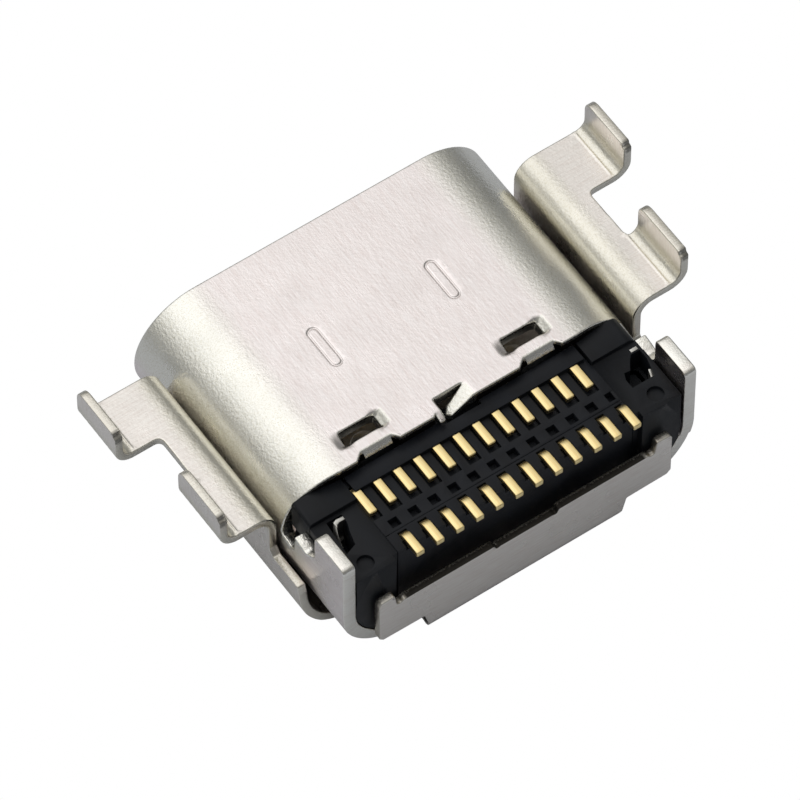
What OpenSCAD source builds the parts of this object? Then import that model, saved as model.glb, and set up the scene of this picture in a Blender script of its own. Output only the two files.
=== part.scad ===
// Flat-mounting 24-contact connector socket.
// Frame: +Z towards the circuit board, +Y out of the mouth, X across.
// Origin at the middle of the resting face under the bounding box.

/* [Port] */
// Inside width of the mouth
port_w = 8.34; // [8:0.01:8.8]
// Inside height of the mouth
port_h = 2.56; // [2.4:0.01:2.7]
// Sheet thickness of the shell
shell_t = 0.3; // [0.2:0.01:0.35]
// Wall at the back of the cavity from the trough's rear edge
cavity_back = 2.26; // [2.15:0.01:2.4]
// Port centre below the soldering plane
port_drop = 1.24; // [1.1:0.01:1.4]

/* [Shell] */
// Mouth to the rear edge of the trough
shell_l = 7.81; // [7.5:0.01:8.2]
// Rear edge of the roof from the trough's rear edge
roof_back = 2.23; // [2.15:0.01:2.35]
// Rear rim on the sides from the trough's rear edge
side_back = 1.86; // [1.76:0.01:1.96]
// Length of the sloping shoulder behind the side rim
shoulder_l = 0.43; // [0.3:0.01:0.6]
// Shoulder height above the port centre at its front end
shoulder_h = 0.78; // [0.7:0.01:0.9]
// Fall of the shoulder along its length
shoulder_fall = 0.3; // [0.1:0.01:0.35]
// Relief notch height above the port centre, in front of the ear
relief_h = 0.3; // [0.1:0.01:0.4]
// Width of an ear along Y
ear_w = 1.07; // [0.9:0.01:1.2]
// Ear tip above the soldering plane
ear_rise = 0.6; // [0.3:0.01:0.9]
// Ear root below the port centre
ear_drop = 0.5; // [0.3:0.01:0.7]
// Rear edge of the ear past the trough
ear_over = 0.03; // [0:0.01:0.04]
// Corner rounding of the ear tip
ear_r = 0.12; // [0.05:0.01:0.25]

/* [Roof features] */
// Centre of a roof window from the start of the rounded side
win_in = 0.83; // [0.7:0.01:1]
// Width of a window
win_w = 0.9; // [0.6:0.01:1]
// Window length along Y
win_l = 0.42; // [0.3:0.01:0.5]
// Front edge of the windows ahead of the roof's rear edge
win_ahead = 0.83; // [0.78:0.01:0.95]
// Slope length at each window end
win_ramp = 0.15; // [0.05:0.01:0.2]
// Depth of the scallop behind each window
scallop_l = 0.18; // [0.05:0.01:0.2]
// Width of a scallop at its bottom
scallop_w = 0.72; // [0.5:0.01:0.9]
// Half width of the middle notch
notch_w = 0.45; // [0.3:0.01:0.6]
// Length of the middle notch
notch_l = 0.4; // [0.3:0.01:0.5]
// Width of each prong in the middle notch
prong_w = 0.28; // [0.2:0.01:0.3]
// Distance of the oblong marks from the middle
mark_x = 1.5; // [1.2:0.01:1.9]
// Mouth to the front end of an oblong mark
mark_front = 2.28; // [2:0.01:2.6]
// Length of an oblong mark
mark_l = 1.08; // [0.6:0.01:1.4]
// Width of an oblong mark
mark_w = 0.24; // [0.2:0.01:0.4]
// Depth of the line round a mark
mark_d = 0.03; // [0.01:0.01:0.08]

/* [Bracket] */
// Sheet thickness of the bracket
bracket_t = 0.2; // [0.15:0.01:0.25]
// Gap between bracket floor and shell
seat_gap = 0.03; // [0.02:0.005:0.04]
// Gap between bracket wall and shell side
side_gap = 0.075; // [0.04:0.005:0.15]
// Outside radius of the lower bends
low_r = 1.28; // [1:0.01:1.4]
// Inside radius of the bends into the wings
wing_r = 0.3; // [0.2:0.01:0.35]
// Mouth to the front edge of the wings
wing_front = 1.1; // [0.9:0.01:1.4]
// Length of the front wing plate along Y
leg1_w = 1.45; // [1.2:0.01:1.6]
// Gap between front and rear legs along Y
leg_gap = 1.38; // [1.2:0.01:1.6]
// Length of the rear wing plate along Y
leg2_w = 1.56; // [1.3:0.01:1.7]
// Outside of the front leg from the bracket wall
leg1_reach = 2.025; // [1.8:0.005:2.25]
// Outside of the rear leg from the bracket wall
leg2_reach = 1.395; // [1.36:0.005:1.6]
// Inner edge of the gap between the legs from the bracket wall
gap_reach = 0.925; // [0.75:0.005:0.95]
// Leg tip above the soldering plane
leg_rise = 0.9; // [0.5:0.01:1.2]
// Inside radius of the bends into the legs
leg_r = 0.25; // [0.15:0.01:0.3]
// Step that narrows a leg tip on its mouth side
tip_step = 0.12; // [0.05:0.01:0.3]
// Rear edge of the bracket walls from the trough's rear edge
wall_back = 1.06; // [0.9:0.01:1.2]
// Top of the low rear wall above the resting face
low_wall_h = 1.69; // [1.5:0.01:1.9]

/* [Rear flap] */
// Gap between the trough edge and the flap
flap_gap = 0.05; // [0.045:0.005:0.1]
// End of the flap from the inside of the port's side
flap_in = 0.44; // [0.32:0.01:0.7]
// Edge of the neck that joins the flap to the floor, from the end of the flap
neck_in = 1.29; // [0.9:0.01:1.7]
// Top of the end tabs above the resting face
flap_tab_h = 2.05; // [1.95:0.01:2.2]
// Top of the flap between the tabs above the resting face
flap_mid_h = 1.75; // [1.65:0.01:1.85]
// Lower edge of the flap ends above the resting face
flap_low = 0.62; // [0.5:0.01:0.8]
// Inside radius of the bend into the flap
flap_r = 0.06; // [0.06:0.005:0.08]

/* [Contacts] */
// Contacts in each row
rows_n = 12; // [12:1:12]
// Pitch of the contacts
pitch = 0.5; // [0.48:0.01:0.5]
// Contact sheet thickness
contact_t = 0.15; // [0.1:0.01:0.18]
// Width of a solder tail
tail_w = 0.2; // [0.16:0.01:0.24]
// Width of a contact on the tongue
beam_w = 0.25; // [0.2:0.01:0.3]
// Sideways offset of a tail from its contact on the tongue
stagger = 0.125; // [0.1:0.005:0.14]
// Middle of the front tail row from the trough's rear edge
row1_y = 1.51; // [1.4:0.01:1.6]
// Length of a front tail
tail1_l = 0.63; // [0.5:0.01:0.7]
// Rear end of the rear tails past the trough's rear edge
row2_over = 0.165; // [0.05:0.005:0.2]
// Contact end from the mouth, long contacts
beam_long = 1.35; // [1.2:0.05:1.6]
// How much shorter the signal contacts are
beam_short = 0.35; // [0.2:0.05:0.5]
// How far a contact stands above the tongue face
beam_proud = 0.01; // [0:0.005:0.03]

/* [Tongue] */
// Width of the tongue
tongue_w = 6.69; // [6.6:0.01:6.75]
// Thickness of the tongue
tongue_t = 0.7; // [0.66:0.01:0.72]
// Mouth to the tip of the tongue
tongue_tip = 1.05; // [0.9:0.05:1.2]
// Length of the thick root of the tongue
root_l = 1.35; // [1:0.05:1.6]
// Thickness of the root
root_t = 1.3; // [1.1:0.05:1.5]
// Thickness of the plate inside the tongue
mid_t = 0.15; // [0.1:0.01:0.2]
// Thickness of the hooked grounding legs
hook_t = 0.1; // [0.08:0.01:0.12]
// Tip of the tongue to the side latch notches
latch_back = 1; // [0.8:0.05:1.3]
// Length of a side latch notch
latch_l = 0.75; // [0.5:0.05:0.9]
// Thickness of the grounding collars on the root
collar_t = 0.12; // [0.08:0.01:0.15]

/* [Housing] */
// Clearance between moulded and metal pieces
fit = 0.02; // [0.01:0.005:0.03]
// Floor between the tails below the soldering plane
floor_d = 0.115; // [0.08:0.005:0.14]
// Plug top below the inside of the roof
plug_gap = 0.02; // [0.01:0.005:0.04]
// Rear face of the plug from the trough's rear edge
plug_y = 1.66; // [1.6:0.01:1.75]
// Half width of the wafers
wafer_x = 2.98; // [2.95:0.01:3.05]
// Rear face of the wafers from the trough's rear edge
wafer_back = 0.16; // [0.1:0.01:0.2]
// Rear face of the end blocks from the trough's rear edge
block_back = 0.01; // [0:0.01:0.03]
// Seam between the two wafers from the trough's rear edge
seam_y = 0.62; // [0.6:0.01:0.65]
// Height of the lower wafer under the port centre
wafer_low = 0.7; // [0.6:0.01:0.8]
// Width of a slot round a tail
slot_w = 0.3; // [0.28:0.01:0.32]
// Depth of the slots below the floor
slot_d = 0.12; // [0.05:0.01:0.16]

/* [Hidden] */
e = 0.01;
shell_w = port_w + 2*shell_t;
shell_h = port_h + 2*shell_t;
total_l = shell_l + flap_gap + bracket_t;
y_mouth = total_l/2;
y_back = y_mouth - shell_l;            // rear edge of the trough
z_port = bracket_t + seat_gap + shell_h/2;
z_board = z_port + port_drop;
z_top = z_port + shell_h/2;
arc_x = (port_w - port_h)/2;           // centres of the mouth's end arcs
wall_x = shell_w/2 + side_gap;         // inner face of the bracket walls
y_roof = y_back + roof_back;
y_side = y_back + side_back;
y_win = y_roof + win_ahead;            // front edge of the windows
win_x = arc_x - win_in;
leg1_x = wall_x + leg1_reach;
leg2_x = wall_x + leg2_reach;
gap_x = wall_x + gap_reach;
flap_x = port_w/2 - flap_in;
neck_x = flap_x - neck_in;
y_ear = y_back - ear_over;             // rear edge of an ear
y_wing = y_mouth - wing_front;
y_leg1 = y_wing - leg1_w;
y_leg2 = y_leg1 - leg_gap;
y_wing_end = y_leg2 - leg2_w;
y_wall_end = y_back + wall_back;
y_flap = -total_l/2;
y_cavity = y_back + cavity_back;
y_tip = y_mouth - tongue_tip;
y_root = y_cavity + root_l;
y_plug = y_back + plug_y;
y_row1 = y_back + row1_y;
y_tail1 = y_row1 - tail1_l/2;
y_tail2 = y_back - row2_over;
y_ledge = y_tail1 + tail1_l;           // ledge that covers the front ends of the tails
y_leg_a = y_ledge + 0.2;               // front face of the upright legs, upper row
y_leg_b = y_back + seam_y - 0.08;      // front face of the upright legs, lower row
y_seam = y_back + seam_y;
y_wafer = y_back + wafer_back;
z_floor = z_board - floor_d;
z_plug = z_top - shell_t - plug_gap;
z_beam_a = z_port + tongue_t/2 + beam_proud;   // top of the upper contacts
z_beam_b = z_port - tongue_t/2 - beam_proud;   // underside of the lower contacts
block_x = port_w/2 - 0.05;
end_w = block_x - wafer_x;             // width of an end block
hole_x = wafer_x + 0.65*end_w;
hole_w = 0.49*end_w;
hole_l = 0.82;
hole_y = y_back + 1.14;

function xc(i) = (i - (rows_n - 1)/2)*pitch;
function is_long(i) = i == 0 || i == 3 || i == rows_n - 4 || i == rows_n - 1;

// extrudes an XZ outline along Y from y0 to y1
module along_y(y0, y1) {
  translate([0, y1, 0]) rotate([90, 0, 0]) linear_extrude(y1 - y0) children();
}
// extrudes a YZ outline along X from x0 to x1
module along_x(x0, x1) {
  translate([x0, 0, 0]) rotate([90, 0, 90]) linear_extrude(x1 - x0) children();
}
module box(x0, x1, y0, y1, z0, z1) {
  translate([x0, y0, z0]) cube([x1 - x0, y1 - y0, z1 - z0]);
}
module both() {
  children();
  mirror([1, 0, 0]) children();
}
module stadium(w, h) {
  square([w - h, h], center = true);
  for (s = [-1, 1]) translate([s*(w - h)/2, 0]) circle(d = h, $fn = 64);
}
// quarter of a bent sheet: r inside radius, t thickness, turned by a
module quarter(r, t, a) {
  rotate(a) intersection() {
    difference() {
      circle(r + t, $fn = 64);
      circle(r, $fn = 64);
    }
    square(r + t);
  }
}
// rectangle from the lower left corner with rounded corners
module round_rect(w, h, r) {
  translate([r, 0]) square([w - 2*r, h]);
  translate([0, r]) square([w, h - 2*r]);
  for (x = [r, w - r], y = [r, h - r]) translate([x, y]) circle(r, $fn = 32);
}

// ---------- shell ----------
// side view of what is left of the drawn tube: roof, raked rim, shoulder, trough
module tube_side() {
  polygon([[y_mouth, -e], [y_mouth, z_top + e], [y_roof, z_top + e],
    [y_roof - 0.02, z_top - 0.06], [y_roof - 0.19, z_port + 0.97],
    [y_side, z_port + shoulder_h], [y_side - shoulder_l + 0.06, z_port + shoulder_h - shoulder_fall],
    [y_side - shoulder_l, z_port + shoulder_h - shoulder_fall - 0.08],
    [y_side - shoulder_l - 0.02, z_port + relief_h],
    [y_back, z_port + relief_h], [y_back, -e]]);
}
module roof_cuts() {
  translate([0, 0, z_port + port_h/4]) linear_extrude(shell_h) {
    // scallops behind the windows
    for (s = [-1, 1]) polygon([
      [s*(win_x + scallop_w/2 + 0.17), y_roof - 1], [s*(win_x + scallop_w/2 + 0.17), y_roof],
      [s*(win_x + scallop_w/2), y_roof + scallop_l], [s*(win_x - scallop_w/2), y_roof + scallop_l],
      [s*(win_x - scallop_w/2 - 0.2), y_roof], [s*(win_x - scallop_w/2 - 0.2), y_roof - 1]]);
    // middle notch
    polygon([[-notch_w - 0.06, y_roof - 1], [-notch_w - 0.06, y_roof],
      [-notch_w, y_roof + notch_l], [notch_w, y_roof + notch_l],
      [notch_w + 0.06, y_roof], [notch_w + 0.06, y_roof - 1]]);
  }
  // windows with sloping ends
  both() along_y(y_win - win_l, y_win) polygon([
    [win_x - win_w/2, z_top - shell_t - e], [win_x + win_w/2, z_top - shell_t - e],
    [win_x + win_w/2, z_top - shell_t/2], [win_x + win_w/2 + win_ramp, z_top + e],
    [win_x - win_w/2 - win_ramp, z_top + e], [win_x - win_w/2, z_top - shell_t/2]]);
  // pressed lines round the oblong marks
  both() translate([mark_x, y_mouth - mark_front - mark_l/2, z_top - mark_d])
    linear_extrude(1) rotate(90) difference() {
      stadium(mark_l, mark_w);
      stadium(mark_l - 0.1, mark_w - 0.1);
    }
}
module ear() {
  y0 = y_ear;
  intersection() {
    box(port_w/2, shell_w/2, y0, y0 + ear_w, z_port - ear_drop, z_board + ear_rise);
    along_x(port_w/2 - e, shell_w/2 + e) translate([y0, z_port - ear_drop - 1])
      round_rect(ear_w, ear_drop + port_drop + ear_rise + 1, ear_r);
    // small bevel on the outer edge of the tip
    along_y(y0 - 1, y0 + ear_w + 1) polygon([[port_w/2, 0], [shell_w/2, 0],
      [shell_w/2, z_board + ear_rise - 0.06], [shell_w/2 - 0.04, z_board + ear_rise], [port_w/2, z_board + ear_rise]]);
  }
}
// sheet tongue that is pressed down from the roof in the middle notch
module prong() {
  y1 = y_roof + notch_l;
  along_x(-prong_w/2, prong_w/2) polygon([[y1 + e, z_top], [y1 - 0.06, z_top - 0.02],
    [y1 - 0.36, z_top - shell_t - 0.06], [y1 - 0.4, z_top - shell_t - 0.17],
    [y1 - 0.28, z_top - shell_t - 0.17], [y1 - 0.2, z_top - shell_t - 0.06],
    [y1 - 0.02, z_top - shell_t + 0.06], [y1 + e, z_top - shell_t]]);
}
module shell() {
  color("gainsboro") union() {
    difference() {
      intersection() {
        translate([0, 0, z_port]) along_y(y_back, y_mouth) difference() {
          stadium(shell_w, shell_h);
          stadium(port_w, port_h);
        }
        along_x(-shell_w, shell_w) tube_side();
      }
      roof_cuts();
    }
    both() ear();
    // lips that are turned down from the straps behind the windows
    both() box(win_x - 0.2, win_x + 0.2, y_roof + scallop_l, y_roof + scallop_l + 0.12,
      z_top - shell_t - 0.06, z_top - shell_t/2);
    for (s = [-1, 1]) translate([s*(notch_w - prong_w/2 - 0.06), 0, 0]) prong();
  }
}

// ---------- bracket ----------
leg_out = leg_r + bracket_t;
module wall_profile() {
  square([wall_x + bracket_t - low_r + e, bracket_t]);
  translate([wall_x + bracket_t - low_r, low_r]) quarter(low_r - bracket_t, bracket_t, -90);
  translate([wall_x, low_r]) square([bracket_t, z_board - bracket_t - wing_r - low_r]);
  translate([wall_x + bracket_t + wing_r, z_board - bracket_t - wing_r]) quarter(wing_r, bracket_t, 90);
}
// section through a wing whose leg has its outside at x
module leg_profile(x) {
  wall_profile();
  x0 = wall_x + bracket_t + wing_r;
  translate([x0 - e, z_board - bracket_t]) square([x - leg_out - x0 + 2*e, bracket_t]);
  translate([x - leg_out, z_board + leg_r]) quarter(leg_r, bracket_t, -90);
  translate([x - bracket_t, z_board + leg_r]) square([bracket_t, leg_rise - leg_r]);
}
// removes the mouth side of a leg tip above the plate, y0 is the leg's front edge
module tip_cut(y0) {
  along_x(gap_x - 0.1, leg1_x + 1) polygon([[y0 + 0.1, z_board + 0.04], [y0, z_board + 0.04],
    [y0 - tip_step*0.6, z_board + 0.12], [y0 - tip_step, z_board + 0.32],
    [y0 - tip_step, z_board + leg_rise - 0.06], [y0 - tip_step - 0.08, z_board + leg_rise + e], [y0 + 0.1, z_board + leg_rise + e]]);
}
// bevel on the rear outer corner of a leg tip
module tip_bevel(x, y0) {
  translate([x, y0, z_board + leg_rise]) rotate([0, 0, 45])
    cube([0.16, 0.16, 0.3], center = true);
}
module flap_outline() {
  polygon([[-neck_x, bracket_t + flap_r - e], [-neck_x - 0.15, flap_low], [-flap_x + 0.1, flap_low + 0.02],
    [-flap_x, flap_low + 0.12], [-flap_x, flap_tab_h - 0.1], [-flap_x + 0.06, flap_tab_h],
    [-flap_x + 0.39, flap_tab_h + 0.02], [-flap_x + 0.45, flap_mid_h - 0.04], [-flap_x + 0.55, flap_mid_h - 0.06], [-flap_x + 0.62, flap_mid_h],
    [-0.8, flap_mid_h], [-0.76, flap_mid_h - 0.14], [-0.68, flap_mid_h - 0.1],
    [0.68, flap_mid_h - 0.1], [0.76, flap_mid_h - 0.14], [0.8, flap_mid_h],
    [flap_x - 0.62, flap_mid_h], [flap_x - 0.55, flap_mid_h - 0.06], [flap_x - 0.45, flap_mid_h - 0.04], [flap_x - 0.39, flap_tab_h + 0.02],
    [flap_x - 0.06, flap_tab_h], [flap_x, flap_tab_h - 0.1], [flap_x, flap_low + 0.12],
    [flap_x - 0.1, flap_low + 0.02], [neck_x + 0.15, flap_low], [neck_x, bracket_t + flap_r - e]]);
}
module bracket() {
  color("silver") union() {
    both() difference() {
      union() {
        along_y(y_leg2 - leg2_w, y_wing) wall_profile();
        difference() {
          along_y(y_leg1, y_wing) leg_profile(leg1_x);
          tip_cut(y_wing);
          tip_bevel(leg1_x, y_leg1);
        }
        along_y(y_leg2 - e, y_leg1 + e) translate([wall_x + bracket_t + wing_r - e, z_board - bracket_t])
          square([leg2_x - wall_x - bracket_t - wing_r, bracket_t]);
        difference() {
          along_y(y_wing_end, y_leg2) leg_profile(leg2_x);
          tip_cut(y_leg2);
          tip_bevel(leg2_x, y_wing_end);
        }
        // low rear wall
        intersection() {
          along_y(y_wall_end, y_wing_end + e) wall_profile();
          along_x(-e, wall_x + 1) polygon([[y_wing_end + 1, -e], [y_wing_end + 1, low_wall_h + 0.16],
            [y_wing_end - 0.02, low_wall_h + 0.16], [y_wing_end - 0.14, low_wall_h],
            [y_wall_end + 0.22, low_wall_h], [y_wall_end + 0.16, low_wall_h - 0.2],
            [y_wall_end + 0.04, bracket_t + 0.5], [y_wall_end, bracket_t + 0.2], [y_wall_end, -e]]);
        }
      }
      // gap between the legs with rounded inner corners
      translate([gap_x, y_leg2, z_board - bracket_t - 0.5])
        linear_extrude(bracket_t + leg_rise + 1) round_rect(leg1_x - gap_x + 1, leg_gap, 0.12);
    }
    // neck, bend and flap
    box(-neck_x, neck_x, y_flap + bracket_t + flap_r, y_wall_end + e, 0, bracket_t);
    along_x(-neck_x, neck_x) translate([y_flap + bracket_t + flap_r, bracket_t + flap_r])
      quarter(flap_r, bracket_t, 180);
    along_y(y_flap, y_flap + bracket_t) flap_outline();
  }
}

// ---------- contacts ----------
// upper row: tail in front, upright leg, then forward on top of the tongue
module contact_a(i, g = 0) {
  x = xc(i);
  xt = x - stagger;
  y_end = y_mouth - beam_long - (is_long(i) ? 0 : beam_short);
  z0 = z_beam_a - contact_t;
  // tail
  box(xt - tail_w/2 - g, xt + tail_w/2 + g, y_tail1 - g, y_leg_a, z_board - contact_t - g, z_board + g);
  // upright leg, jogged sideways
  along_y(y_leg_a - contact_t - g, y_leg_a + g) polygon([
    [xt - tail_w/2 - g, z_board + g], [xt + tail_w/2 + g, z_board + g],
    [xt + tail_w/2 + g, z_board - 2*contact_t], [x + beam_w/2 + g, z0 + 2*contact_t],
    [x + beam_w/2 + g, z0 - g], [x - beam_w/2 - g, z0 - g],
    [x - beam_w/2 - g, z0 + 2*contact_t], [xt - tail_w/2 - g, z_board - 2*contact_t]]);
  // beam
  box(x - beam_w/2 - g, x + beam_w/2 + g, y_leg_a - contact_t - g, y_end + g, z0 - g, z0 + contact_t + g);
}
// lower row: tail at the rear, upright leg, then forward under the tongue
module contact_b(i, g = 0) {
  x = xc(i);
  xt = x + stagger;
  y_end = y_mouth - beam_long - (is_long(i) ? 0 : beam_short);
  z0 = z_beam_b;
  box(xt - tail_w/2 - g, xt + tail_w/2 + g, y_tail2 - g, y_leg_b, z_board - contact_t - g, z_board + g);
  along_y(y_leg_b - contact_t - g, y_leg_b + g) polygon([
    [xt - tail_w/2 - g, z_board + g], [xt + tail_w/2 + g, z_board + g],
    [xt + tail_w/2 + g, z_board - 2*contact_t], [x + beam_w/2 + g, z_port],
    [x + beam_w/2 + g, z0 - g], [x - beam_w/2 - g, z0 - g],
    [x - beam_w/2 - g, z_port], [xt - tail_w/2 - g, z_board - 2*contact_t]]);
  box(x - beam_w/2 - g, x + beam_w/2 + g, y_leg_b - contact_t - g, y_end + g, z0 - g, z0 + contact_t + g);
}

// ---------- moulded pieces ----------
// upright grounding leg, hooked inwards at its mouth side
module hook(g) {
  x1 = hole_x + hole_w/2 - 0.03 + g;   // outer face
  x0 = hole_x - hole_w/2 + 0.02 - g;   // end of the hook
  xm = (x0 + x1)/2;
  t = hook_t + 2*g;
  y0 = hole_y - hole_l/2 + 0.12 - g;
  y1 = hole_y + hole_l/2 - 0.05 + g;
  translate([0, 0, z_port - g]) linear_extrude(z_floor - z_port + 2*g) polygon([
    [x1, y0], [x1, y1 - 0.17], [x1 - 0.08, y1 - 0.08], [xm, y1 - 0.04], [x0, y1],
    [x0, y1 - t], [xm, y1 - 0.04 - t], [x1 - t - 0.02, y1 - 0.08 - t], [x1 - t, y1 - 0.17 - t/2], [x1 - t, y0]]);
}
// plate inside the tongue, with side latch notches and two upright grounding legs
module mid_plate(g = 0) {
  color("lightgray") {
    difference() {
      union() {
        box(-tongue_w/2 - 0.03 - g, tongue_w/2 + 0.03 + g, y_seam + 0.1 - g, y_tip - 0.12 + g,
          z_port - mid_t/2 - g, z_port + mid_t/2 + g);
        box(-hole_x - hole_w/2 + 0.03 - g, hole_x + hole_w/2 - 0.03 + g, hole_y - hole_l/2 + 0.06 - g, hole_y + hole_l/2 - 0.06 + g,
          z_port - mid_t/2 - g, z_port + mid_t/2 + g);
      }
      if (g == 0) both() box(tongue_w/2 - 0.12, tongue_w/2 + 1, y_tip - latch_back - latch_l, y_tip - latch_back, 0, 2*z_port);
    }
    both() hook(g);
  }
}
module tongue() {
  color("#1d1e22") difference() {
    union() {
      // blade with bevelled tip
      along_x(-tongue_w/2, tongue_w/2) polygon([[y_cavity, z_port - tongue_t/2],
        [y_tip - 0.2, z_port - tongue_t/2], [y_tip, z_port - tongue_t/2 + 0.14],
        [y_tip, z_port + tongue_t/2 - 0.14], [y_tip - 0.2, z_port + tongue_t/2], [y_cavity, z_port + tongue_t/2]]);
      box(-tongue_w/2, tongue_w/2, y_cavity, y_root, z_port - root_t/2, z_port + root_t/2);
    }
    for (i = [0:rows_n - 1]) {
      contact_a(i, fit/2);
      contact_b(i, fit/2);
    }
    mid_plate(fit/2);
  }
}
module upper_wafer() {
  color("#26272b") difference() {
    union() {
      box(-wafer_x, wafer_x, y_seam, y_cavity - fit, z_port + mid_t/2 + fit, z_floor);
      // ledge in front of the tails, trimmed to the round of the tube
      along_y(y_ledge, y_cavity - fit) intersection() {
        translate([0, z_port]) stadium(port_w - 2*fit, port_h - 2*fit);
        translate([-wafer_x + 0.07, z_floor - e]) square([2*wafer_x - 0.14, z_plug - z_floor + e]);
      }
    }
    for (i = [0:rows_n - 1]) {
      contact_a(i, fit/2);
      xa = xc(i) - stagger;
      xb = xc(i) + stagger;
      // slot round the tail
      box(xa - slot_w/2, xa + slot_w/2, y_tail1 - 0.12, y_ledge, z_floor - slot_d, z_board + 1);
      // square pocket in line with the rear tail
      box(xb - 0.11, xb + 0.11, y_tail1 - 0.5, y_tail1 - 0.28, z_floor - 0.2, z_board + 1);
    }
    prong_pocket();
  }
}
// pocket under the prongs of the roof
module prong_pocket() {
  box(-notch_w - 0.05, notch_w + 0.05, y_roof - 0.1, y_cavity + 1, z_top - shell_t - 0.24, z_top);
}
module lower_wafer() {
  color("#222327") difference() {
    union() {
      box(-wafer_x, wafer_x, y_wafer, y_cavity - fit, z_port - wafer_low, z_port - mid_t/2 - fit);
      box(-wafer_x, wafer_x, y_wafer, y_seam - fit, z_port - wafer_low, z_floor);
    }
    for (i = [0:rows_n - 1]) {
      contact_b(i, fit/2);
      xb = xc(i) + stagger;
      box(xb - slot_w/2, xb + slot_w/2, y_wafer - 1, y_leg_b - contact_t - 0.06, z_floor - slot_d, z_board + 1);
    }
  }
}
module housing() {
  color("#1f2024") difference() {
    union() {
      // plug that closes the tube
      along_y(y_plug, y_cavity) intersection() {
        translate([0, z_port]) stadium(port_w - 2*fit, port_h - 2*fit);
        translate([-port_w, 0]) square([2*port_w, z_plug]);
      }
      // rear block in the trough
      along_y(y_back + block_back, y_plug + e) intersection() {
        translate([0, z_port]) stadium(port_w - 2*fit, port_h - 2*fit);
        translate([-port_w, 0]) square([2*port_w, z_floor]);
      }
      // square shoulders behind the tube, between the ears
      along_y(y_back + block_back, y_side - shoulder_l - 0.05) translate([-block_x, z_port])
        square([2*block_x, z_floor - z_port]);
    }
    // room for the wafers
    box(-wafer_x - fit, wafer_x + fit, y_wafer, y_cavity + 1, z_port - wafer_low - fit, z_board + 1);
    // the middle of the rear face is set back
    box(-wafer_x - 0.15, wafer_x + 0.15, y_back - 1, y_wafer + e, z_port - port_h, z_board + 1);
    // room for the mid plate and its upright legs
    mid_plate(fit/2);
    both() translate([hole_x - hole_w/2, hole_y - hole_l/2, z_port + mid_t/2 + fit/2])
      linear_extrude(z_board) round_rect(hole_w, hole_l, 0.08);
    // round ejector marks
    both() translate([hole_x - 0.05, y_back + 0.29, z_floor - 0.04]) cylinder(h = 1, r = 0.25, $fn = 48);
    prong_pocket();
  }
}
module collar(s) {
  x1 = tongue_w/2 - 0.1;
  z1 = root_t/2 + fit/2;
  color("silver") translate([0, 0, z_port]) mirror([0, 0, s < 0 ? 1 : 0]) {
    box(-x1, x1, y_cavity + 0.02, y_root, z1, z1 + collar_t);
    // front edge turned down to the blade
    box(-x1, x1, y_root + fit/2, y_root + fit/2 + collar_t, tongue_t/2 + 0.1, z1 + collar_t);
    box(-x1, x1, y_root - e, y_root + fit/2 + collar_t, z1, z1 + collar_t);
    // raised grounding pads
    for (x = [-0.284*tongue_w, 0.284*tongue_w]) translate([x, y_cavity + root_l/2, z1 + collar_t - e]) cylinder(h = 0.07, r = 0.3, $fn = 40);
  }
}
module collar_upper() { collar(1); }
module collar_lower() { collar(-1); }

shell();
bracket();
housing();
tongue();
upper_wafer();
lower_wafer();
mid_plate();
collar_upper();
collar_lower();
for (i = [0:rows_n - 1]) {
  color("goldenrod") contact_a(i);
  color("goldenrod") contact_b(i);
}
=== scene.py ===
import math
import bmesh
import bpy
import numpy as np
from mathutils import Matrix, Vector
from mathutils.geometry import delaunay_2d_cdt


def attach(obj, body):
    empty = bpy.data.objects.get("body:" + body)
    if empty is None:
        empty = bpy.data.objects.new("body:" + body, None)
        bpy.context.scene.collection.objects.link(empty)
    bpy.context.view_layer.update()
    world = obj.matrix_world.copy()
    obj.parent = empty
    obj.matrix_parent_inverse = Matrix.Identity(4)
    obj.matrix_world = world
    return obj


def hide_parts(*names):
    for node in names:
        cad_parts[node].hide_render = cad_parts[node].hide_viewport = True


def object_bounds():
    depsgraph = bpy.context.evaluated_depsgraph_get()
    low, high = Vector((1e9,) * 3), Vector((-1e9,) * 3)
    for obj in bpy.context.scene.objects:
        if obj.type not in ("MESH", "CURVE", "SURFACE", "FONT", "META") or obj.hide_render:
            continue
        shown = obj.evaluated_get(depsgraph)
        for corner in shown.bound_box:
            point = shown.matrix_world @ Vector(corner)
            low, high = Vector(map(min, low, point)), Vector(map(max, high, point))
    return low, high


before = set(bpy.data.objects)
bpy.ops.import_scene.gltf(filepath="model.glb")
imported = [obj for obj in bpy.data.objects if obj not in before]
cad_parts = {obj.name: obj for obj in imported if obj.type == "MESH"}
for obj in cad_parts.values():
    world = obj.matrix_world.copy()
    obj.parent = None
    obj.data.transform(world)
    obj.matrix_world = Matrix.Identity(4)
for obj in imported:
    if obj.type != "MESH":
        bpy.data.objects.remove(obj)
cadLow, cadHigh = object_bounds()
mm = 0.001
print("frame loaded:", len(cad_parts), "nodes")


def hexColour(code):
    # sRGB hex to linear: c/12.92 below 0.04045, else ((c + 0.055)/1.055)^2.4
    c = np.array([int(code[i:i + 2], 16) for i in (1, 3, 5)])/255
    linear = np.where(c <= 0.04045, c/12.92, ((c + 0.055)/1.055)**2.4)
    return (*[float(v) for v in linear], 1.0)


def addNode(tree, kind, inputs=None, stops=(), **settings):
    # one node: settings are its properties, inputs are values or sockets to link from, and stops are
    # the (position, hex) pairs of a colour ramp
    node = tree.nodes.new(kind)
    for key, value in settings.items():
        setattr(node, key, value)
    for key, value in (inputs or {}).items():
        if isinstance(value, bpy.types.NodeSocket):
            tree.links.new(value, node.inputs[key])
        else:
            node.inputs[key].default_value = value
    for extra in stops[2:]:
        node.color_ramp.elements.new(0.5)
    if stops:
        for element, (position, code) in zip(node.color_ramp.elements, stops):
            element.position, element.color = position, hexColour(code)
    return node


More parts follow.
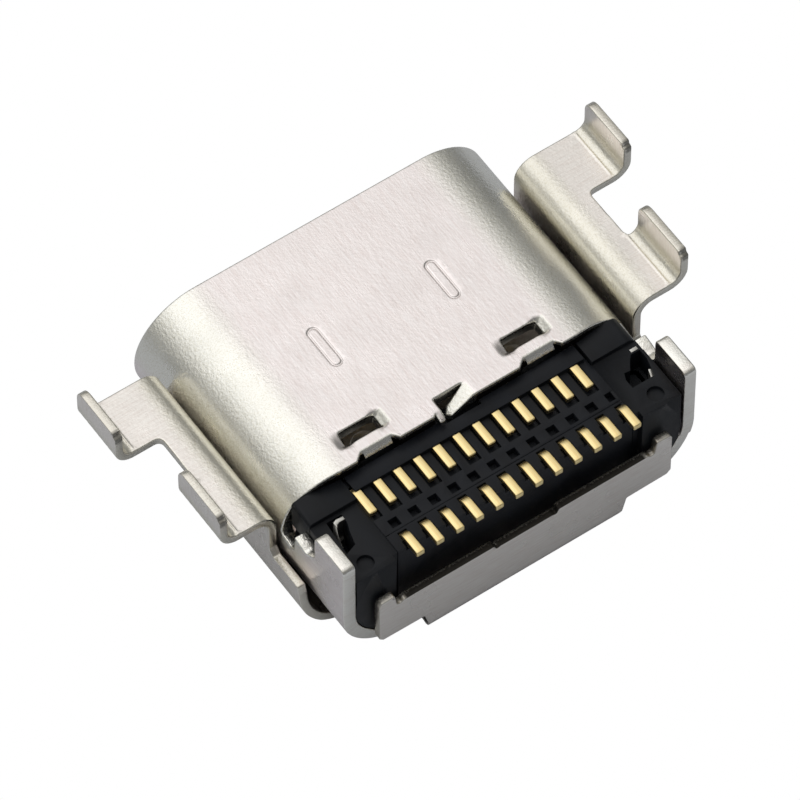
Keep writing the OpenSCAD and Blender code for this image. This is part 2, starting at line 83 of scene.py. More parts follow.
def newMaterial(name, **values):
    # one principled shader; the values are set on its own sockets
    material = bpy.data.materials.new(name)
    material.use_nodes = True
    tree = material.node_tree
    tree.nodes.clear()
    shader = addNode(tree, "ShaderNodeBsdfPrincipled", values)
    addNode(tree, "ShaderNodeOutputMaterial", {"Surface": shader.outputs["BSDF"]})
    return material, tree, shader


def smoothStep(x, low, high):
    # 0 below low, 1 above high, 3t^2 - 2t^3 between
    t = np.clip((x - low)/(high - low), 0, 1)
    return t*t*(3 - 2*t)


def intoScene(name, data):
    # a new object at the origin that shows this mesh, lamp or camera
    thing = bpy.data.objects.new(name, data)
    bpy.context.scene.collection.objects.link(thing)
    return thing


def mendMesh(mesh, merge=0, flat=0):
    # doubles closer than merge metres joined, faces within flat degrees joined, all turned outwards
    work = bmesh.new()
    work.from_mesh(mesh)
    if merge:
        bmesh.ops.remove_doubles(work, verts=work.verts, dist=merge)
    if flat:
        bmesh.ops.dissolve_limit(work, angle_limit=math.radians(flat), verts=work.verts, edges=work.edges)
    bmesh.ops.recalc_face_normals(work, faces=work.faces)
    work.to_mesh(mesh)
    work.free()


def newPiece(name, points, faces, material, attributes):
    # closed mesh in millimetres to an object in metres, shaded smooth by the size of its faces
    mesh = bpy.data.meshes.new(name)
    mesh.from_pydata((points*mm).tolist(), [], faces.tolist())
    for key, values in attributes.items():
        layer = mesh.attributes.new(key, "FLOAT_VECTOR", "POINT")
        layer.data.foreach_set("vector", values.astype(np.float32).ravel())
    mendMesh(mesh, merge=2e-8)
    mesh.polygons.foreach_set("use_smooth", np.ones(len(mesh.polygons), dtype=bool))
    piece = intoScene(name, mesh)
    mesh.materials.append(material)
    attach(piece, "root")
    piece.modifiers.new("faceNormals", "WEIGHTED_NORMAL").keep_sharp = True
    return piece


def foldPath(s, segments, start, heading):
    # straight runs and arcs laid end to end: each (length, turn) adds its own share of the point,
    # a run by ds*direction, an arc of curvature k by (sin k ds, 1 - cos k ds)/k turned to its heading
    s = np.asarray(s, float)
    x, z, angle, used = start[0] + 0*s, start[1] + 0*s, heading + 0*s, 0.0*s
    for index, (length, turn) in enumerate(segments):
        last = index == len(segments) - 1
        ds = np.maximum(s - used, 0) if last else np.clip(s - used, 0, length)
        k = turn/length
        if turn == 0:
            x, z = x + ds*np.cos(angle), z + ds*np.sin(angle)
        else:
            a, b = np.sin(k*ds)/k, (1 - np.cos(k*ds))/k
            x, z = x + a*np.cos(angle) - b*np.sin(angle), z + a*np.sin(angle) + b*np.cos(angle)
            angle = angle + k*ds
        used = used + length
    return x, z, angle


def roundLoop(corners, step):
    # closed outline from (u, v, radius): every corner is a quadratic arc between points that lie
    # radius*tan(half turn) before and after it, then all runs are cut to the given step
    c = np.array(corners, float)
    p, radius = c[:, :2], c[:, 2]
    back, ahead = np.roll(p, 1, 0) - p, np.roll(p, -1, 0) - p
    backRun, aheadRun = np.linalg.norm(back, axis=1), np.linalg.norm(ahead, axis=1)
    back, ahead = back/backRun[:, None], ahead/aheadRun[:, None]
    turn = np.arccos(np.clip(-(back*ahead).sum(1), -1, 1))
    reach = np.minimum(radius*np.tan(turn/2), 0.47*np.minimum(backRun, aheadRun))
    w = np.linspace(0, 1, 7)[None, :, None]
    arc = ((1 - w)**2*(p + back*reach[:, None])[:, None] + 2*w*(1 - w)*p[:, None]
           + w**2*(p + ahead*reach[:, None])[:, None])
    pts = arc.reshape(-1, 2)
    pts = pts[np.linalg.norm(pts - np.roll(pts, 1, 0), axis=1) > 1e-4]
    run = np.roll(pts, -1, 0) - pts
    length = np.linalg.norm(run, axis=1)
    cuts = np.maximum(np.ceil(length/step), 1).astype(int)
    index = np.repeat(np.arange(len(pts)), cuts)
    part = (np.arange(cuts.sum()) - np.repeat(np.cumsum(cuts) - cuts, cuts))/cuts[index]
    return pts[index] + run[index]*part[:, None]


def otherHalf(corners):
    # the same corners on the left, from the last one back to the first
    return [(-u, v, r) for u, v, r in reversed(corners)]


def inwards(loop):
    # unit vector from the rim into the metal: mean of the two neighbouring runs turned a quarter left
    run = np.roll(loop, -1, 0) - loop
    run /= np.linalg.norm(run, axis=1)[:, None]
    mean = run + np.roll(run, 1, 0)
    mean /= np.linalg.norm(mean, axis=1)[:, None]
    stretch = 1/np.clip((mean*run).sum(1), 0.6, 1)
    return np.stack([-mean[:, 1], mean[:, 0]], 1)*stretch[:, None]


def inShares(points, others):
    # row numbers of points in shares that keep a points-by-others table small
    return np.array_split(np.arange(len(points)), max(1, len(points)*len(others)//4000000))


def insideOf(points, loops):
    # even-odd rule: a point is in the metal when a ray to the right crosses the rims an odd number of times
    odd = np.zeros(len(points), bool)
    for loop in loops:
        a, b = loop, np.roll(loop, -1, 0)
        dy = np.where(np.abs(b[:, 1] - a[:, 1]) < 1e-12, 1e-12, b[:, 1] - a[:, 1])
        for part in inShares(points, loop):
            px, py = points[part, 0:1], points[part, 1:2]
            cross = (a[None, :, 1] > py) != (b[None, :, 1] > py)
            x = a[None, :, 0] + (py - a[None, :, 1])*((b[:, 0] - a[:, 0])/dy)[None, :]
            odd[part] ^= (np.sum(cross & (px < x), axis=1) % 2).astype(bool)
    return odd


def sheetGrid(low, high, step):
    # staggered rows of points, sqrt(3)/2 of a step apart, with every other row half a step on
    u, v = np.meshgrid(np.arange(low[0], high[0], step), np.arange(low[1], high[1], step*0.87))
    u[1::2] += step/2
    return np.stack([u.ravel(), v.ravel()], 1)


def rimProfile(t, roll, burr):
    # (inset, height) pairs down the cut edge: rolled over on top, straight, a short burr side below
    q = 1 - math.sqrt(0.5)
    return [(roll + 0.02, t/2), (roll, t/2), (roll*(1 - 0.42), t/2 - roll*0.09), (roll*q, t/2 - roll*q),
            (roll*0.09, t/2 - roll*0.58), (0, t/2 - roll), (0, burr - t/2),
            (burr*q, burr*q - t/2), (burr, -t/2), (roll + 0.02, -t/2)]


def stampSheet(loops, bend, sheet, dense):
    # a blank with rounded cut edges: both faces are one flat triangulation, placed by bend(u, v, h)
    # at h = +t/2 and -t/2, and a rim profile of a few heights runs round every outline; dense lists
    # boxes (low u, high u, low v, high v) with the finer step wanted there
    t, roll, burr, step = (sheet[key] for key in ("t", "roll", "burr", "step"))
    inner = [loop + inwards(loop)*(roll + 0.02) for loop in loops]
    rims = np.concatenate(inner)
    grid = sheetGrid(rims.min(0), rims.max(0), step)
    for u0, u1, v0, v1, fine in dense:
        out = (grid[:, 0] < u0) | (grid[:, 0] > u1) | (grid[:, 1] < v0) | (grid[:, 1] > v1)
        grid = np.concatenate([grid[out], sheetGrid((u0, v0), (u1, v1), fine)])
    grid = grid[insideOf(grid, inner)]
    # points too close to a rim go
    gap = np.full(len(grid), 9.0)
    for part in inShares(grid, rims):
        d = grid[part, None, :] - rims[None]
        gap[part] = np.sqrt((d*d).sum(2)).min(1)
    flat = np.concatenate([rims, grid[gap > min(0.55*step, 0.05)]])
    edges, first = [], 0
    for loop in inner:
        edges += [(first + i, first + (i + 1) % len(loop)) for i in range(len(loop))]
        first += len(loop)
    made = delaunay_2d_cdt([Vector(p) for p in flat.tolist()], edges, [], 0, 1e-7)
    flat, tri = np.array([tuple(p) for p in made[0]]), np.array(made[2])
    tri = tri[insideOf(flat[tri].mean(1), inner)]
    uv, height = [flat, flat], [np.full(len(flat), t/2), np.full(len(flat), -t/2)]
    used, quads, profile = 2*len(flat), [], rimProfile(t, roll, burr)
    for loop in loops:
        n, way = len(loop), inwards(loop)
        for inset, level in profile:
            uv.append(loop + way*inset)
            height.append(np.full(n, level))
        i = np.arange(n)
        for k in range(len(profile) - 1):
            a, b = used + k*n + i, used + k*n + (i + 1) % n
            quads.append(np.stack([b, a, a + n, b + n], 1))
        used += n*len(profile)
    uv, height, quads = np.concatenate(uv), np.concatenate(height), np.concatenate(quads)
    points = bend(uv[:, 0], uv[:, 1], height)
    faces = np.concatenate([tri, tri[:, ::-1] + len(flat), quads[:, [0, 1, 2]], quads[:, [0, 2, 3]]])
    return points, faces, uv, height


metal = {
    # the torn colour is painted shade: near-black on the torn share of the cut edges, far darker than torn steel
    "roof": "#F7F1EF", "roofBend": "#F1F0E9", "cradle": "#EFEBE5", "cradleBend": "#E6E3D8", "tornAndShade": "#1B1815",
    # sizes in mm: a rolling line is narrow and long, the rest are grains
    "line": (0.03, 0.5), "peel": 0.07, "speck": 0.03, "crinkle": 0.05, "cloud": 0.9,
    "lineDepth": 0.0016, "peelDepth": 0.011, "cutDepth": 0.012, "flatPeel": 0.45,
    "rough": 0.3, "cutRough": 0.22, "tornRough": 0.55,
}


def platedSteel(name, flatTint, bendTint, linesAlong, peelShare=1.0):
    # bright nickel on drawn stainless steel: flat faces keep the fine rolling lines of the strip,
    # bends are orange-peel, so they glitter while the flats stay even, and cut edges are bright
    # where they were sheared and dull and ragged where they tore; the torn share is painted near-black as shade
    material, tree, shader = newMaterial(name, Metallic=1.0, Roughness=metal["rough"])
    blank = addNode(tree, "ShaderNodeAttribute", attribute_name="blank").outputs["Vector"]
    finishAndShade = addNode(tree, "ShaderNodeAttribute", attribute_name="finishAndShade").outputs["Vector"]
    masks = addNode(tree, "ShaderNodeSeparateXYZ", {"Vector": finishAndShade}).outputs
    # z is the torn share of the cut edges, which the shader paints near-black as shade
    bent, cutEdge, tornAndShade = masks["X"], masks["Y"], masks["Z"]
    height = addNode(tree, "ShaderNodeSeparateXYZ", {"Vector": blank}).outputs["Z"]
    place = addNode(tree, "ShaderNodeTexCoord").outputs["Object"]
    narrow, long = (1/size for size in metal["line"])
    squeeze = (narrow, long, 1) if linesAlong == "v" else (long, narrow, 1)
    stretched = addNode(tree, "ShaderNodeMapping", {"Vector": blank, "Scale": squeeze})
    lines = addNode(tree, "ShaderNodeTexNoise", {
        "Vector": stretched.outputs["Vector"], "Scale": 1.0, "Detail": 3.0, "Roughness": 0.6}).outputs["Fac"]
    grains = (("peel", 2.5, 0.6), ("speck", 1.0, 0.5), ("crinkle", 3.0, 0.65), ("cloud", 2.0, 0.5))
    peel, speck, crinkle, cloud = (
        addNode(tree, "ShaderNodeTexNoise", {
            "Vector": place, "Scale": 1/(metal[grain]*mm), "Detail": detail, "Roughness": rough}).outputs["Fac"]
        for grain, detail, rough in grains)
    # bumps: lines on the flats, peel mostly on the bends, crinkles along the cuts
    onFlat = addNode(tree, "ShaderNodeMath", {0: 1.0, 1: bent}, operation="SUBTRACT").outputs[0]
    onBend = addNode(tree, "ShaderNodeMath", {0: bent, 1: peelShare, 2: metal["flatPeel"]},
                     operation="MULTIPLY_ADD", use_clamp=True).outputs[0]
    onCut = addNode(tree, "ShaderNodeMath", {0: cutEdge, 1: 0.5}, operation="MULTIPLY").outputs[0]
    lineBump = addNode(tree, "ShaderNodeBump", {
        "Height": lines, "Distance": metal["lineDepth"]*mm, "Strength": onFlat})
    peelBump = addNode(tree, "ShaderNodeBump", {
        "Height": peel, "Distance": metal["peelDepth"]*mm, "Strength": onBend,
        "Normal": lineBump.outputs["Normal"]})
    cutBump = addNode(tree, "ShaderNodeBump", {
        "Height": crinkle, "Distance": metal["cutDepth"]*mm, "Strength": onCut,
        "Normal": peelBump.outputs["Normal"]})
    tree.links.new(cutBump.outputs["Normal"], shader.inputs["Normal"])
    # colour: warmer on bends and cuts, faint streaks on the flats and specks on the bends
    worked = addNode(tree, "ShaderNodeMath", {0: bent, 1: cutEdge}, operation="MAXIMUM").outputs[0]
    tint = addNode(tree, "ShaderNodeMix", {
        "Factor": worked, "A": hexColour(flatTint), "B": hexColour(bendTint)}, data_type="RGBA")
    streaks = addNode(tree, "ShaderNodeValToRGB", {"Fac": lines}, [(0.32, "#EFE9E7"), (0.6, "#FFFFFF")])
    specks = addNode(tree, "ShaderNodeValToRGB", {"Fac": speck}, [(0.3, "#E9E6DC"), (0.55, "#FFFFFF")])
    marks = addNode(tree, "ShaderNodeMix", {
        "Factor": bent, "A": streaks.outputs["Color"], "B": specks.outputs["Color"]}, data_type="RGBA")
    marked = addNode(tree, "ShaderNodeMix", {
        "Factor": 0.7, "A": tint.outputs["Result"], "B": marks.outputs["Result"]},
        data_type="RGBA", blend_type="MULTIPLY")
    # torn share of a cut: below a ragged line near the middle of the sheet; its near-black colour is painted shade,
    # its dullness is real
    ragged = addNode(tree, "ShaderNodeMath", {0: crinkle, 1: 0.22, 2: height}, operation="MULTIPLY_ADD").outputs[0]
    below = addNode(tree, "ShaderNodeMapRange", {
        "Value": ragged, "From Min": 0.2, "From Max": 0.14, "To Min": 0.0, "To Max": 1.0}).outputs["Result"]
    dark = addNode(tree, "ShaderNodeMath", {0: tornAndShade, 1: below}, operation="MULTIPLY", use_clamp=True).outputs[0]
    final = addNode(tree, "ShaderNodeMix", {
        "Factor": dark, "A": marked.outputs["Result"], "B": hexColour(metal["tornAndShade"])}, data_type="RGBA")
    tree.links.new(final.outputs["Result"], shader.inputs["Base Color"])
    # roughness: clouded on the faces, smoother on a sheared cut, dull where it tore
    clouded = addNode(tree, "ShaderNodeMapRange", {
        "Value": cloud, "From Min": 0.3, "From Max": 0.7,
        "To Min": metal["rough"] - 0.05, "To Max": metal["rough"] + 0.06})
    smooth = addNode(tree, "ShaderNodeMix", {
        "Factor": cutEdge, "A": clouded.outputs["Result"], "B": metal["cutRough"]}, data_type="FLOAT")
    dull = addNode(tree, "ShaderNodeMix", {
        "Factor": dark, "A": smooth.outputs["Result"], "B": metal["tornRough"]}, data_type="FLOAT")
    tree.links.new(dull.outputs["Result"], shader.inputs["Roughness"])
    return material


shellSteel = platedSteel("drawn nickel plated steel", metal["roof"], metal["roofBend"], "v")
bracketSteel = platedSteel("stamped nickel plated steel", metal["cradle"], metal["cradleBend"], "u", 1.5)

plastic = {"flow": 0.5, "fibre": 0.035, "gloss": 0.22, "rough": (0.4, 0.54)}  # flow marks and fibres in mm


def mouldedPlastic(name, low, high, fleck):
    # black glass-filled liquid crystal polymer, injection moulded: satin, slightly blue, with faint flow
    # marks and flecks of fibre that stand up by fleck mm
    material, tree, shader = newMaterial(name, Roughness=0.5, **{"Specular IOR Level": plastic["gloss"]})
    place = addNode(tree, "ShaderNodeTexCoord").outputs["Object"]
    stretched = addNode(tree, "ShaderNodeMapping", {"Vector": place, "Scale": (1, 0.35, 1)})
    flow = addNode(tree, "ShaderNodeTexNoise", {
        "Vector": stretched.outputs["Vector"], "Scale": 1/(plastic["flow"]*mm), "Detail": 4.0, "Roughness": 0.6})
    fibre = addNode(tree, "ShaderNodeTexNoise", {"Vector": place, "Scale": 1/(plastic["fibre"]*mm), "Detail": 2.0})
    tint = addNode(tree, "ShaderNodeValToRGB", {"Fac": flow.outputs["Fac"]}, [(0.35, low), (0.68, high)])
    rough = addNode(tree, "ShaderNodeMapRange", {
        "Value": flow.outputs["Fac"], "From Min": 0.3, "From Max": 0.7,
        "To Min": plastic["rough"][0], "To Max": plastic["rough"][1]})
    bump = addNode(tree, "ShaderNodeBump", {"Height": fibre.outputs["Fac"], "Distance": fleck*mm, "Strength": 0.5})
    tree.links.new(tint.outputs["Color"], shader.inputs["Base Color"])
    tree.links.new(rough.outputs["Result"], shader.inputs["Roughness"])
    tree.links.new(bump.outputs["Normal"], shader.inputs["Normal"])
    return material


housingPlastic = mouldedPlastic("moulded black housing polymer", "#111317", "#1B1E23", 0.0022)
waferPlastic = mouldedPlastic("moulded black wafer polymer", "#121419", "#1D2026", 0.0022)
tonguePlastic = mouldedPlastic("moulded black tongue polymer", "#0F1114", "#17191D", 0.0018)


def goldPlate(name):
    # flash gold over nickel on copper strip: pale warm gold with drawing lines along the strip, each
    # 0.03 mm wide and 0.6 mm long
    material, tree, shader = newMaterial(name, Metallic=1.0, Roughness=0.3)
    blank = addNode(tree, "ShaderNodeAttribute", attribute_name="blank")
    stretched = addNode(tree, "ShaderNodeMapping", {"Vector": blank.outputs["Vector"], "Scale": (1/0.03, 1/0.6, 1)})
    lines = addNode(tree, "ShaderNodeTexNoise", {"Vector": stretched.outputs["Vector"], "Scale": 1.0, "Detail": 2.0})
    tint = addNode(tree, "ShaderNodeValToRGB", {"Fac": lines.outputs["Fac"]}, [(0.3, "#F8D994"), (0.62, "#FFECB2")])
    bump = addNode(tree, "ShaderNodeBump", {"Height": lines.outputs["Fac"], "Distance": 0.0009*mm, "Strength": 0.6})
    tree.links.new(tint.outputs["Color"], shader.inputs["Base Color"])
    tree.links.new(bump.outputs["Normal"], shader.inputs["Normal"])
    return material


contactGold = goldPlate("gold plated copper strip")


def innerSteel(name, low, high):
    # bare rolled stainless steel: duller grey than the plated pieces, mottled in patches of 0.12 mm
    material, tree, shader = newMaterial(name, Metallic=1.0, Roughness=0.36)
    place = addNode(tree, "ShaderNodeTexCoord").outputs["Object"]
    mottle = addNode(tree, "ShaderNodeTexNoise", {"Vector": place, "Scale": 1/(0.12*mm), "Detail": 3.0})
    tint = addNode(tree, "ShaderNodeValToRGB", {"Fac": mottle.outputs["Fac"]}, [(0.3, low), (0.7, high)])
    bump = addNode(tree, "ShaderNodeBump", {"Height": mottle.outputs["Fac"], "Distance": 0.0012*mm, "Strength": 0.5})
    tree.links.new(tint.outputs["Color"], shader.inputs["Base Color"])
    tree.links.new(bump.outputs["Normal"], shader.inputs["Normal"])
    return material


plateSteel = innerSteel("rolled stainless steel plate", "#B9B8B2", "#D6D4CE")
collarSteel = innerSteel("stamped stainless steel collar", "#C6C4BE", "#DEDCD6")
print("materials made")


shell = {
    # section: wall, half width of the flat roof, radius to the middle of the wall, height of its centre
    "t": 0.3, "arcX": 2.89, "radius": 1.43, "portZ": 1.81,
    # lengths: mouth, rear edge of the roof, rear end of the trough
    "mouth": 4.03, "roof": -1.55, "back": -3.78,
    # ears, and the shoulders and relief notches in front of them
    "earBack": -3.81, "earW": 1.09, "earRise": 0.6, "boardZ": 3.05, "shoulderZ": 2.68, "reliefZ": 2.12,
    "earFrom": 1.62, "earTo": 1.95,
    # windows with a dip at the left end and a torn ramp at the right, and the straps behind them
    "winX": 2.06, "winW": 0.9, "winL": 0.36, "winFront": -0.73, "dip": 0.1, "ramp": 0.13,
    "strap": 0.18, "strapThin": 0.45, "slant": 0.2,
    # middle notch: sloping tab on its right, and the finger on its left that turns down
    "notch": 0.4, "tab": (-0.36, 0.44), "tabSlope": 0.52, "tabSoft": 0.06,
    "finger": (-0.575, -0.38), "fingerY": 0.12, "fingerR": 0.1, "fingerTurn": 0.45, "fingerThick": 0.6,
    # two pressed oblong marks
    "markX": 1.5, "markY": 1.21, "markL": 1.08, "markW": 0.24, "markDepth": 0.03, "markLine": 0.02,
    "roll": 0.04, "burr": 0.02, "step": 0.11,
}
shellSide = shell["arcX"] + math.pi*shell["radius"]/2  # u at the widest place
shellEnd = shell["arcX"]*2 + math.pi*shell["radius"]  # u at the seam underneath


def turnedDown(ahead, radius, turn):
    # reach and fall of a strip that turns down by an arc and runs on straight
    arc = np.minimum(ahead/radius, turn)
    rest = np.maximum(ahead - radius*turn, 0)
    return radius*np.sin(arc) + rest*math.cos(turn), radius*(1 - np.cos(arc)) + rest*math.sin(turn), arc


def pressedIn(u, v):
    # how far the roof is pushed down: smooth steps of the distance from each window's ends, and along
    # the outline of each oblong mark depth*exp(-(distance/line width)^2)
    k, s = shell, np.abs(u)
    wide, long = k["winW"]/2, k["winL"]/2
    along, ahead = u - np.sign(u)*k["winX"], v - k["winFront"]
    across = 1 - smoothStep(np.abs(ahead + long), long - 0.06, long + 0.08)
    dip = k["dip"]*smoothStep(-np.abs(along + wide), -0.24, 0)*across*(1 - smoothStep(ahead, -0.24, 0.02)*0.7)
    ramp = k["ramp"]*smoothStep(-np.abs(along - wide), -0.2, 0)*across
    past = np.maximum(np.abs(v - k["markY"]) - (k["markL"] - k["markW"])/2, 0)
    mark = np.hypot(s - k["markX"], past) - k["markW"]/2
    return dip + ramp + k["markDepth"]*np.exp(-(mark/k["markLine"])**2)*(s < k["arcX"])


def shellBend(u, v, h):
    # section path: roof, half circle of the middle surface, floor; behind the relief notch the side
    # leaves the circle and goes straight up into the ear, blended over a third of a millimetre
    k, s = shell, np.abs(u)
    a, r, top = k["arcX"], k["radius"], k["t"]/2
    x, z, angle = foldPath(s, [(a, 0), (math.pi*r, -math.pi), (a, 0)], (0, k["portZ"] + r), 0.0)
    ear = smoothStep(-v, k["earFrom"], k["earTo"])*(s < shellSide)*(s > a + 0.1)
    x, z = x + (a + r - x)*ear, z + (k["portZ"] + np.maximum(shellSide - s, 0) - z)*ear
    angle = angle + (-math.pi/2 - angle)*ear
    # the tab slopes down from right to left, by slope*(d - soft*(1 - exp(-d/soft))), and thins out
    left, right = k["tab"]
    inTab = (u > left) & (u < right) & (v < k["roof"] + 0.395 - 0.13*(0.4 - u)) & (v > -2.2)
    d, soft = np.maximum(right - u, 0), k["tabSoft"]
    drop = pressedIn(u, v) + np.where(inTab, k["tabSlope"]*(d - soft*(1 - np.exp(-d/soft))), 0)
    thin = np.where(inTab, 0.5*smoothStep(d, 0.05, 0.3), 0)
    # the straps are pressed thinner, and the shear left their rear face and the right rim slanting
    along = u - np.sign(u)*k["winX"]
    onStrap = smoothStep(-np.abs(along - 0.07), -0.46, -0.34)*(np.abs(v - k["roof"]) < k["strap"] + 0.08)
    onRim = smoothStep(u, 3.9, 4.2)*(1 - smoothStep(u, 4.7, 4.85))*(v < -1.3)*(v > -1.6)
    v = v - k["slant"]*np.maximum(onStrap*0.7, onRim)*(top - h)/k["t"]
    deep = (top - h)*(1 - np.maximum(thin, k["strapThin"]*onStrap))
    px, py, pz = x - np.sin(angle)*(top - deep), v, z + np.cos(angle)*(top - deep) - drop
    # the finger turns down at once, thinner than the sheet
    left, right = k["finger"]
    start, thick = k["roof"] + k["fingerY"], k["fingerThick"]
    inFinger = (u > left) & (u < right) & (v < start) & (v > -2.2)
    reach, fall, arc = turnedDown(np.maximum(start - v, 0), k["fingerR"], k["fingerTurn"])
    py = np.where(inFinger, start - reach + (top - h)*thick*np.sin(arc), py)
    pz = np.where(inFinger, k["portZ"] + r + top - fall - (top - h)*thick*np.cos(arc), pz)
    return np.stack([np.sign(u)*px, py, pz], 1)


def strapCorners(x, roof, width):
    # rear edge of the strap behind a window, from right to left
    return [(x + 0.58, roof, 0.05), (x + 0.44, roof + width, 0.06),
            (x - 0.29, roof + width, 0.06), (x - 0.5, roof, 0.07)]


def shellLoops():
    # the blank from the seam underneath, round the ear and the raked rim to the strap behind the window,
    # as (u, v, corner radius)
    k, roof = shell, shell["roof"]
    flat = shellSide + k["portZ"]  # minus a height gives u on the upright side
    tip, front, low = flat - k["boardZ"] - k["earRise"], k["earBack"] + k["earW"], flat - k["reliefZ"]
    shoulder = flat - k["shoulderZ"]
    right = [
        (shellEnd, k["mouth"], 0), (shellEnd, k["back"], 0),
        # ear
        (shellSide + 0.5, k["back"], 0.03), (shellSide + 0.44, k["earBack"], 0.05),
        (tip, k["earBack"], 0.16), (tip, front, 0.16),
        # shoulder
        (flat - 2.86, front, 0.3), (shoulder + 0.06, front + 0.3, 0.25), (shoulder, front + 0.5, 0.2),
        (shoulder - 0.04, -1.99, 0.03),
        # relief notch
        (low - 0.1, -1.95, 0.05), (low, -1.82, 0.1), (low, -1.52, 0.1),
        # raked rim
        (4.78, -1.43, 0.1), (4.41, -1.38, 0.3), (4.1, -1.39, 0.4), (3.66, -1.46, 0.4), (3.0, roof, 0.3),
    ]
    middle = [
        # tab
        (0.3, roof, 0.1), (-0.2, roof - 0.01, 0.04), (-0.28, roof + 0.1, 0.05), (-0.14, roof + 0.25, 0.06),
        # notch
        (0.08, roof + 0.31, 0.1), (0.38, roof + k["notch"], 0.02), (-0.4, roof + k["notch"] - 0.01, 0.05),
        # finger
        (-0.415, roof - 0.17, 0.05), (-0.56, roof - 0.17, 0.05), (-0.565, roof + 0.05, 0.03), (-0.62, roof, 0.04),
    ]
    straps = [strapCorners(x, roof, k["strap"]) for x in (k["winX"], -k["winX"])]
    # the list runs clockwise, the metal must lie to the left of the rim
    outline = right + straps[0] + middle + straps[1] + otherHalf(right)
    loops = [roundLoop(outline[::-1], k["step"]*0.7)]
    y0, y1 = k["winFront"] - k["winL"], k["winFront"]
    for x in (-k["winX"], k["winX"]):
        x0, x1 = x - k["winW"]/2, x + k["winW"]/2
        loops.append(roundLoop([(x0, y0, 0.05), (x0, y1, 0.05), (x1, y1, 0.05), (x1, y0, 0.05)], 0.04))
    return loops


def sheetMasks(uv, height, t, bent, tornAndShade):
    # finish and shade: x is how strongly the sheet is bent, y is 1 on the cut edges, z is how much of the cut tore,
    # which is painted near-black as shade
    cut = (np.abs(height) < t/2 - 1e-6).astype(float)
    return {"blank": np.stack([uv[:, 0], uv[:, 1], height], 1), "finishAndShade": np.stack([bent, cut, cut*tornAndShade], 1)}


def shellFinishAndShade(u, v):
    # bent: the half circles above the widest place, the torn ramps and the sloping tab
    k, s = shell, np.abs(u)
    bent = smoothStep(s, k["arcX"] - 0.35, k["arcX"] + 0.35)*(1 - smoothStep(s, shellSide - 0.45, shellSide + 0.1))
    bent = bent*(1 - smoothStep(-v, 2.0, 2.5))
    along, long = u - np.sign(u)*k["winX"], k["winL"]/2
    ramp = (along > k["winW"]/2 - 0.05) & (along < k["winW"]/2 + 0.2)
    ramp = ramp & (np.abs(v - k["winFront"] + long) < long + 0.02)
    onTab = (u > -0.36) & (u < 0.4) & (v < k["roof"] + 0.38) & (v > -1.7)
    # torn, and painted near-black as shade: the rear rim and, less, the windows, but not the lips, tab and finger
    lip = (along > -0.27) & (along < 0.42) & (v < k["roof"] + k["strap"] + 0.1)
    middle = (u > -0.58) & (u < 0.42) & (v < k["roof"] + 0.36)
    tornAndShade = (v < -0.7) & (v > -1.62) & (u > -4.55) & (u < 3.95) & ~lip & ~middle
    return np.maximum(bent, ramp | onTab), tornAndShade*np.where(v > -1.2, 0.55, 1.0)


def makeShell():
    k = shell
    # finer meshes: the marks, the ends of the windows, the tab and finger, and the rim beside them
    fine = [(s*k["markX"] - 0.17, s*k["markX"] + 0.17, k["markY"] - 0.6, k["markY"] + 0.6, 0.018) for s in (-1, 1)]
    fine += [(x + a, x + a + 0.32, k["winFront"] - k["winL"] - 0.1, k["winFront"] + 0.1, 0.03)
             for x in (-k["winX"], k["winX"]) for a in (-k["winW"]/2 - 0.3, k["winW"]/2 - 0.02)]
    fine += [(-0.74, 0.5, k["roof"] - 0.2, k["roof"] + 0.5, 0.035),
             (-1.3, -0.74, k["roof"] - 0.05, k["roof"] + 0.25, 0.06)]
    points, faces, uv, height = stampSheet(shellLoops(), shellBend, k, fine)
    # the two edges that meet underneath are one: their walls go, and a fine closed line stays
    faces = faces[~(np.abs(uv[:, 0])[faces] > shellEnd - 1e-6).all(1)]
    masks = sheetMasks(uv, height, k["t"], *shellFinishAndShade(uv[:, 0], uv[:, 1]))
    piece = newPiece("shellTube", points, faces, shellSteel, masks)
    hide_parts("shell")


makeShell()
print("shell made")


bracket = {
    # sheet and bend radii inside the cradle: floor to wall, wall to wing, wing to leg
    "t": 0.2, "wallX": 4.545, "lowR": 1.28, "wingR": 0.3, "legR": 0.25, "boardZ": 3.05, "legRise": 0.9,
    # lengths: front edge, the two legs on each side, rear end of the walls
    "front": 2.93, "leg1Back": 1.48, "leg2Front": 0.1, "leg2Back": -1.46, "wallEnd": -2.72,
    "leg1X": 6.57, "leg2X": 5.94, "legRun": 0.65, "gapX": 5.47, "lowWall": 1.69,
    # coined ridge along each leg bend
    "ridge": 0.018, "ridgeWidth": 0.022,
    # flap that stands up at the rear: neck, full height at the sides, lower middle
    "flapY": -4.03, "flapR": 0.06, "flapX": 3.73, "neckX": 2.44, "tabH": 2.05, "midH": 1.75,
    "roll": 0.035, "burr": 0.02, "step": 0.11,
}
# lengths along the middle of the sheet: an arc is its turn times the bend radius plus half the sheet
flatFloor = bracket["wallX"] + bracket["t"] - bracket["lowR"]
lowArc = math.pi/2*(bracket["lowR"] - bracket["t"]/2)
wallRun = bracket["boardZ"] - bracket["t"] - bracket["wingR"] - bracket["lowR"]
wingArc = math.pi/2*(bracket["wingR"] + bracket["t"]/2)
legArc = math.pi/2*(bracket["legR"] + bracket["t"]/2)
wingStart = flatFloor + lowArc + wallRun + wingArc
wingX = bracket["wallX"] + bracket["t"] + bracket["wingR"]
flapFold = bracket["flapY"] + bracket["t"] + bracket["flapR"]
flapArc = (bracket["flapR"] + bracket["t"]/2)*math.pi/2


def legStart(v):
    # u where the wing turns up into the front or the rear leg
    legX = np.where(v > (bracket["leg1Back"] + bracket["leg2Front"])/2, bracket["leg1X"], bracket["leg2X"])
    return wingStart + legX - bracket["legR"] - bracket["t"] - wingX


